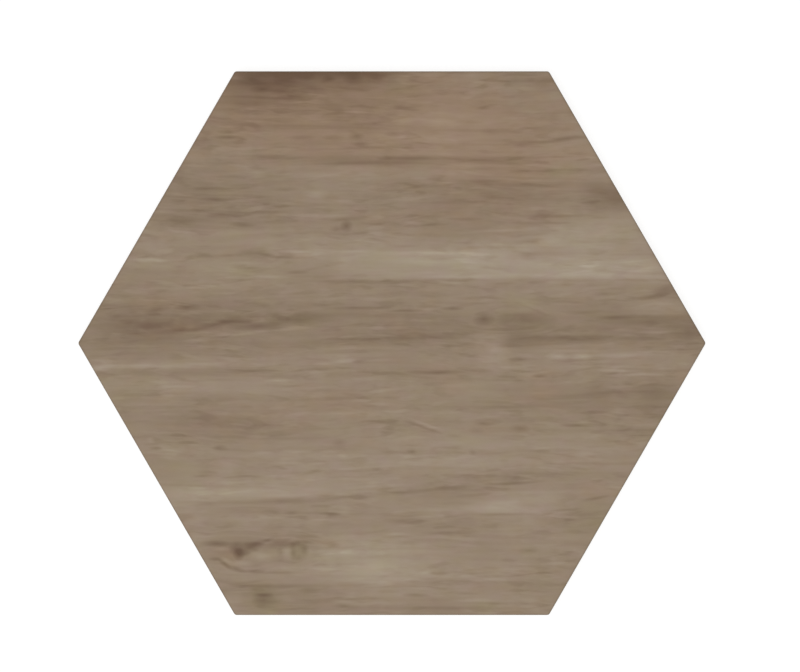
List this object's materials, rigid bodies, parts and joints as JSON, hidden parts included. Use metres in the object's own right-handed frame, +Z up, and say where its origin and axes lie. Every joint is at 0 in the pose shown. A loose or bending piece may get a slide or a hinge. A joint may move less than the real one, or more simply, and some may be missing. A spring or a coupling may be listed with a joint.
{
  "type": "hexagon floor tile",
  "caption": "Flat regular hexagonal porcelain floor tile with a wood-look printed face, softly rounded arris, drawn-in sides and a honeycomb keyed back.",
  "frame": {"origin": "middle of the keyed back, in the plane of the key's rib tops that the tile rests on", "axes": "+Z up through the face; X through two opposite corners, along the printed grain; Y across two opposite sides"},
  "size_m": [0.2766, 0.24, 0.0095],
  "materials": {
    "porcelain": "matt glazed porcelain with a grey-brown wood-grain print"
  },
  "bodies": {
    "root": {"tile": "porcelain"}
  },
  "joints": []
}
